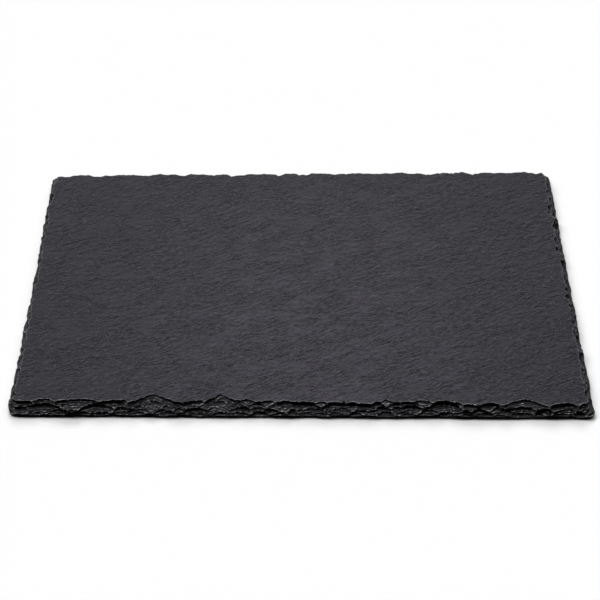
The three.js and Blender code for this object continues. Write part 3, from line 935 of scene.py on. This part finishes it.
    def column(self, edge: Edge, distance: float, inner: Vector, outward: Vector, reach: float) -> tuple:
        """Makes one column of the band.

        Args:
            edge: the side that the column belongs to.
            distance: how far along the side it stands.
            inner: the band's inner end in plan.
            outward: the way from there to the arris.
            reach: the distance from there to the arris, before the arris wanders.

        Returns:
            Inner end, direction, reach, the rim's inset, and how far the chips and the rim are bruised.
        """
        sag = edge.bow * math.sin(math.pi * distance / edge.length) ** 2
        wander = self.arris_wobble.at(distance, edge.seed) + edge.jag * self.jags.at(distance, edge.seed)
        rim = edge.rim(distance) + self.rim_wobble.at(distance, edge.seed)
        return tuple(inner), tuple(outward), reach - sag + wander, rim, edge.wear, edge.knocked

    def side_columns(self, edge: Edge) -> list[tuple]:
        """Makes the columns along one side, between its two corners' fans.

        Args:
            edge: the side.

        Returns:
            The columns, in order.
        """
        margin = self.band + self.fan_radius
        run = edge.length - 2 * margin
        count = round(run / edge.spacing)
        start, along, inward = Vector(edge.start), Vector(edge.along), Vector(edge.inward)
        made = []
        for n in range(count + 1):
            distance = margin + run * n / count
            inner = start + along * distance + inward * self.band
            made.append(self.column(edge, distance, inner, -inward, self.band))
        return made

    def fan_columns(self, edge: Edge, after: Edge) -> list[tuple]:
        """Makes the columns that fan round a corner.

        Args:
            edge: the side that ends at the corner.
            after: the side that starts there.

        Returns:
            The columns, in order.
        """
        margin = self.band + self.fan_radius
        straight = margin - self.corner_radius
        along, inward = Vector(edge.along), Vector(edge.inward)
        centre = Vector(edge.end) + margin * (inward - along)
        made = []
        for k in range(1, self.corner_columns):
            angle = (math.pi / 2) * k / self.corner_columns
            c, s = math.cos(angle), math.sin(angle)
            outward = along * s - inward * c
            if margin * math.tan(min(angle, math.pi / 2 - angle)) < straight:
                reach = margin / max(c, s) - self.fan_radius
            else:
                middle = straight * (c + s)
                rest = math.sqrt(middle**2 - 2 * straight**2 + self.corner_radius**2)
                reach = middle + rest - self.fan_radius
            inner = centre + outward * self.fan_radius
            if angle < math.pi / 4:
                distance = edge.length - margin * (1 - math.tan(angle))
                made.append(self.column(edge, distance, inner, outward, reach))
            else:
                distance = margin * (1 - math.tan(math.pi / 2 - angle))
                made.append(self.column(after, distance, inner, outward, reach))
        return made

    def strips(self) -> Strips:
        """Makes all the columns of the band.

        Returns:
            The columns, anticlockwise from the front left corner.
        """
        columns = []
        for n, (edge, after) in enumerate(self.corners()):
            own = self.side_columns(edge) + self.fan_columns(edge, after)
            columns += [(*column, n) for column in own]
        return Strips(*(np.array(part, float) for part in zip(*columns)))

    def heights(self, strips: Strips, inset: Array) -> tuple[Array, Array]:
        """Works out the chipped surface's height.

        Args:
            strips: the band's columns.
            inset: distances in from the arris, for every column alike.

        Returns:
            Heights, and how clean the break is there from 0 to 1, in one row of each for each column.
        """
        scars = []
        for edge in self.edges():
            scars += edge.scars(self.tiers, edge.nick_chips(self.nicks, self.wall, self.thickness))
        for edge, after in self.corners():
            scars += self.corner_scars(edge, after)
        x, y = strips.place(np.tile(inset, (len(strips.reach), 1)))
        ragged_x, ragged_y = x, y
        for ragged in self.ragged:
            ragged_x = ragged_x + ragged.at(x, y)
            ragged_y = ragged_y + ragged.at(y + self.ragged_shift, x)
        rim = strips.rim[:, None]
        foot = self.wall_share * rim
        lower = self.arris_height + (self.wall - self.arris_height) * inset / foot
        upper = self.wall + (self.thickness - self.wall) * (inset - foot) / (rim - foot)
        height = np.minimum(np.where(inset < foot, lower, upper), self.thickness)
        clean = np.zeros(height.shape)
        for scar in scars:
            floor = scar.floor(ragged_x, ragged_y)
            clean = np.where(floor < height, scar.chip.clean, clean)
            height = np.minimum(height, floor)
        split = self.layers.split(height, clean, x, y)
        split = np.clip(split, 0, self.thickness - self.layer_gap)
        return np.where(height < self.thickness, split, self.thickness), clean

    def profiles(self, strips: Strips) -> tuple[Array, Array]:
        """Follows every column's profile from the arris to the rim, in rows of equal inset plus height.

        Args:
            strips: the band's columns.

        Returns:
            Insets and heights, one row for each column.
        """
        inset = np.arange(0, self.band, self.probe)
        height, clean = self.heights(strips, inset)
        total = np.maximum.accumulate(inset + height, axis=1)
        share = np.arange(1, self.chipped_rows + 1) / self.chipped_rows
        insets, sums, rougher = [], [], []
        for n, climb in enumerate(total):
            below = np.flatnonzero(height[n] < self.thickness)
            rim = inset[min(below[-1] + 1, len(inset) - 1)] if len(below) else self.probe
            goal = self.arris_height + (rim + self.thickness - self.arris_height) * share
            row = np.interp(goal, climb, inset)
            row[-1] = rim
            insets.append(row)
            sums.append(goal)
            rougher.append(1 - self.evened * np.interp(row, inset, clean[n]))
        insets, sums = np.array(insets), np.array(sums)
        run = self.column_run * np.arange(1, len(insets) + 1)[:, None]
        rough = sum(swell.at(run, sums) for swell in self.rough)
        rough = rough * np.array(rougher) * np.minimum(1, 4 * share * (1 - share) + self.end_rough)
        insets = np.maximum(insets + rough, self.least_inset)
        return insets, np.maximum(sums - insets, self.least_height)

    def band_rings(self, strips: Strips) -> Array:
        """Makes the rings of points round the slab, from the underside's rim to the band's inner end.

        Args:
            strips: the band's columns.

        Returns:
            Points, ring by ring.
        """
        columns = len(strips.reach)
        insets, heights = self.profiles(strips)
        run = np.arange(columns)
        lean = 1 + self.lean * strips.inner[:, 0] / (self.width / 2)
        foot = lean * (self.undercut + self.foot_wobble.at(run))
        arris = lean * (self.arris_height + self.rise_wobble.at(run))
        none = np.zeros(columns)
        rows = [(foot, none), (self.hollow[0] * foot, self.hollow[1] * arris), (none, arris)]
        rows += [(insets[:, k], np.maximum(heights[:, k], arris)) for k in range(self.chipped_rows)]
        rims = insets[:, -1]
        for k in range(1, self.rim_rows + 1):
            share = (k / self.rim_rows) ** self.rim_ease
            rows.append((rims + (strips.reach - rims) * share, none + self.thickness))
        rings = []
        for inset, height in rows:
            x, y = strips.place(inset)
            sunk = self.cleavage.depth(x, y, Face.UPPER)
            rings.append(np.stack([x, y, height * (1 - sunk / self.thickness)], axis=1))
        return np.array(rings)

    def cap(self, loop: Array, grid: Grid) -> tuple[Array, list]:
        """Fills a loop with a staggered grid of points.

        Args:
            loop: the loop's points, anticlockwise.
            grid: the grid.

        Returns:
            The grid's points in plan, and triangles that number the loop's points first.
        """
        low, high = loop[:, :2].min(0) + grid.margin, loop[:, :2].max(0) - grid.margin
        columns, rows = round((high[0] - low[0]) / grid.x), round((high[1] - low[1]) / grid.y)
        x = low[0] + (high[0] - low[0]) * (np.arange(columns) + 0.5) / columns
        y = low[1] + (high[1] - low[1]) * (np.arange(rows) + 0.5) / rows
        shift = STAGGER * (high[0] - low[0]) / columns * np.where(np.arange(rows) % 2, 1, -1)
        points = np.stack([(x[None, :] + shift[:, None]).ravel(), np.repeat(y, columns)], axis=1)
        corners = [Vector(p) for p in np.vstack([loop[:, :2], points])]
        found = delaunay_2d_cdt(corners, [], [list(range(len(loop)))], FILL_LOOP, SAME_POINT)
        return points, found[2]

    def flat_map(self, points: Array, faces: list, under: int, strips: Strips) -> Array:
        """Lays the surface out flat, so that a finish can be stored as a picture.

        The upper face, the underside and the four edges lie above each other, each as wide as the map.

        Args:
            points: the mesh's points.
            faces: its faces, starting with the rows of the chipped edges.
            under: how many of the last faces are the underside's.
            strips: the band's columns.

        Returns:
            U and V for each corner of each face.
        """
        count, rows = len(strips.reach), FOOT_ROWS + self.chipped_rows
        corner = np.concatenate(faces)
        face = np.repeat(np.arange(len(faces)), [len(one) for one in faces])
        low, high = points.min(0), points.max(0)
        flat = ((points - low) / (high - low))[corner, :2]
        flat[:, 1] *= self.upper_part[1]
        below = face >= len(faces) - under
        share = flat[below, 1] / self.upper_part[1]
        flat[below, 1] = self.under_part[0] + (self.under_part[1] - self.under_part[0]) * share

        edge = face < rows * count
        column = face[edge] % count
        own = strips.side[column]
        first = np.searchsorted(strips.side, own)
        size = np.searchsorted(strips.side, own, side="right") - first
        ahead = (corner[edge] - column) % count
        flat[edge, 0] = (column + ahead - first) / size
        height = (self.edge_part[1] - self.edge_part[0]) / SIDES
        climb = self.edge_gap / 2 + (1 - self.edge_gap) * (corner[edge] // count) / rows
        flat[edge, 1] = self.edge_part[0] + height * (own + climb)
        return flat

    def mesh(self) -> tuple[Array, list, Array, Array]:
        """Makes the slab's mesh, in millimetres.

        Returns:
            Its points, its faces, how far each point was chipped (from 0 to 1), and its flat map.
        """
        strips = self.strips()
        rings = self.band_rings(strips)
        count = len(strips.reach)
        faces = []
        for row in range(len(rings) - 1):
            for n in range(count):
                a, b = row * count + n, row * count + (n + 1) % count
                faces.append((a, b, b + count, a + count))
        points = [rings.reshape(-1, 3)]

        top, triangles = self.cap(rings[-1], self.upper_grid)
        sunk = self.cleavage.depth(top[:, 0], top[:, 1], Face.UPPER)
        shift, base = (len(rings) - 1) * count, len(rings) * count
        faces += [tuple(shift + k if k < count else base + k - count for k in face) for face in triangles]
        points.append(np.column_stack([top, self.thickness - sunk]))

        base += len(top)
        under, triangles = self.cap(rings[0], self.under_grid)
        sunk = self.under_relief * self.cleavage.depth(under[:, 0], under[:, 1], Face.UNDER)
        faces += [tuple(k if k < count else base + k - count for k in reversed(face)) for face in triangles]
        points.append(np.column_stack([under, sunk]))
        points = np.vstack(points)

        chipped = np.zeros(len(points), np.float32)
        rim = (FOOT_ROWS + self.chipped_rows) * count
        chipped[FOOT_ROWS * count : rim] = np.tile(strips.wear, self.chipped_rows)
        chipped[rim : rim + count] = strips.knocked
        return points, faces, chipped, self.flat_map(points, faces, len(triangles), strips)

    def build(self) -> bpy.types.Object:
        """Makes the slab, fits it to the frame's box and puts it on its body.

        Returns:
            The slab.
        """
        points, faces, chipped, flat = self.mesh()
        low, high = (np.array(corner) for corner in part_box("slate_slab"))
        own_low, own_high = points.min(0), points.max(0)
        points = low + (points - own_low) * (high - low) / (own_high - own_low)
        mesh = bpy.data.meshes.new("slate_slab_riven")
        mesh.from_pydata(points.tolist(), [], faces)
        mesh.validate()
        mesh.shade_smooth()
        mesh.set_sharp_from_angle(angle=self.sharp)
        self.mark(mesh, "proud", self.proud(mesh))
        self.mark(mesh, "chipped", chipped)
        mesh.uv_layers.new(name="OFBake").data.foreach_set("uv", flat.ravel())
        slab = add_object("slate_slab_riven", mesh)
        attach(slab, "root")
        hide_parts("slate_slab")
        mesh.materials.append(self.finish.material())
        mesh.calc_loop_triangles()
        log.info("%s: %d triangles", slab.name, len(mesh.loop_triangles))
        return slab

    def proud(self, mesh: bpy.types.Mesh) -> Array:
        """Works out how far each point stands proud of its neighbours.

        Args:
            mesh: the slab's mesh.

        Returns:
            From -1, deep in a hollow, to 1, on a sharp lip.
        """
        size = len(mesh.vertices)
        place, normal = np.empty(size * 3), np.empty(size * 3)
        ends = np.empty(len(mesh.edges) * 2, np.int32)
        mesh.vertices.foreach_get("co", place)
        mesh.vertices.foreach_get("normal", normal)
        mesh.edges.foreach_get("vertices", ends)
        place, normal, ends = place.reshape(-1, 3), normal.reshape(-1, 3), ends.reshape(-1, 2)
        both = np.concatenate([ends, ends[:, ::-1]])
        degree = np.bincount(both[:, 0], minlength=size)

        def mean(values: Array) -> Array:
            """The mean of each point's neighbours."""
            return np.bincount(both[:, 0], values[both[:, 1]], size) / np.maximum(degree, 1)

        middle = np.stack([mean(place[:, k]) for k in range(3)], axis=1)
        height = ((place - middle) * normal).sum(1) / (self.lip * MM)
        return np.clip(0.5 * (height + mean(height)), -1, 1)

    def mark(self, mesh: bpy.types.Mesh, name: str, values: Array) -> None:
        """Stores a value for each point, for the finish to read."""
        mesh.attributes.new(name, "FLOAT", "POINT").data.foreach_set("value", values.astype(np.float32))


@dataclass(frozen=True)
class StudioPaper:
    """Matt white background paper, which shows as an even pale ground with soft shadows."""

    colour: str = "#f8f8f8"
    roughness: float = 0.9

    def material(self) -> bpy.types.Material:
        """Builds the finish.

        Returns:
            The material.
        """
        made = bpy.data.materials.new("studio_paper")
        made.use_nodes = True
        shader = made.node_tree.nodes["Principled BSDF"]
        shader.inputs["Base Color"].default_value = linear(self.colour)
        shader.inputs["Roughness"].default_value = self.roughness
        shader.inputs["Specular IOR Level"].default_value = 0.0
        return made


@dataclass(frozen=True)
class Lamp:
    """A distant light: where it shines from (azimuth from +Y to +X, elevation), its spread and strength."""

    name: str
    azimuth: float
    elevation: float
    softness: float
    strength: float

    def build(self) -> None:
        """Hangs the light."""
        light = bpy.data.lights.new(self.name, "SUN")
        light.energy = self.strength
        light.angle = math.radians(self.softness)
        azimuth, elevation = math.radians(self.azimuth), math.radians(self.elevation)
        flat = math.cos(elevation)
        source = Vector((math.sin(azimuth) * flat, math.cos(azimuth) * flat, math.sin(elevation)))
        turn = source.to_track_quat("Z", "Y").to_matrix().to_4x4()
        add_object(self.name, light).matrix_world = Matrix.Translation(source) @ turn


@dataclass
class Studio:
    """The pale floor, the soft light and the camera. Lengths in metres, and the lens in millimetres."""

    floor_radius: float = 12.0
    floor_sides: int = 64
    camera_elevation: float = math.radians(42.05)
    camera_distance: float = 0.8474
    camera_aim: tuple[float, float, float] = (-0.00053, -0.0102, 0.0)
    lens: float = 92.04
    sensor: float = 36.0
    lamps: tuple[Lamp, ...] = (
        Lamp("key", azimuth=14, elevation=54, softness=72, strength=1.67),
        Lamp("rake", azimuth=-4, elevation=29.5, softness=18, strength=1.6),
        Lamp("side", azimuth=-60, elevation=43, softness=28, strength=1.72),
    )
    fill_strength: float = 0.006

    def build(self) -> None:
        """Makes the floor, the lights and the camera."""
        self.add_floor()
        log.info("floor: %g m across", 2 * self.floor_radius)
        for lamp in self.lamps:
            lamp.build()
            log.info("lamp %s: %g degrees up", lamp.name, lamp.elevation)
        self.add_fill()
        self.add_camera()
        log.info("camera: %g m away", self.camera_distance)

    def add_floor(self) -> None:
        """Lays the floor."""
        turns = [math.tau * k / self.floor_sides for k in range(self.floor_sides)]
        rim = [Vector((math.cos(turn), math.sin(turn), 0)) * self.floor_radius for turn in turns]
        mesh = bpy.data.meshes.new("floor")
        mesh.from_pydata(rim, [], [tuple(range(self.floor_sides))])
        mesh.materials.append(StudioPaper().material())
        floor = add_object("floor", mesh)
        floor.visible_diffuse = False
        floor.visible_glossy = False

    def add_fill(self) -> None:
        """Lights the shadows with a dim even sky, and shows light as it is, with no film look."""
        world = bpy.data.worlds.new("fill")
        world.use_nodes = True
        world.node_tree.nodes.clear()
        sky = add_node(world.node_tree, "Background", [(1, 1, 1, 1), self.fill_strength])
        add_node(world.node_tree, "OutputWorld", [sky.outputs[0]])
        bpy.context.scene.world = world
        bpy.context.scene.view_settings.view_transform = "Standard"

    def add_camera(self) -> None:
        """Sets up the camera, in front of the slab and above it."""
        data = bpy.data.cameras.new("camera")
        data.lens = self.lens
        data.sensor_width = self.sensor
        camera = add_object("camera", data)
        back = Vector((0, -math.cos(self.camera_elevation), math.sin(self.camera_elevation)))
        camera.location = Vector(self.camera_aim) + back * self.camera_distance
        camera.rotation_euler = (math.pi / 2 - self.camera_elevation, 0, 0)
        bpy.context.scene.camera = camera


def main() -> None:
    """Builds the slab and then the studio, around the frame."""
    logging.basicConfig(level=logging.INFO, format="%(name)s: %(message)s")
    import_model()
    SlateSlab().build()
    Studio().build()


if __name__ == "__main__":
    main()
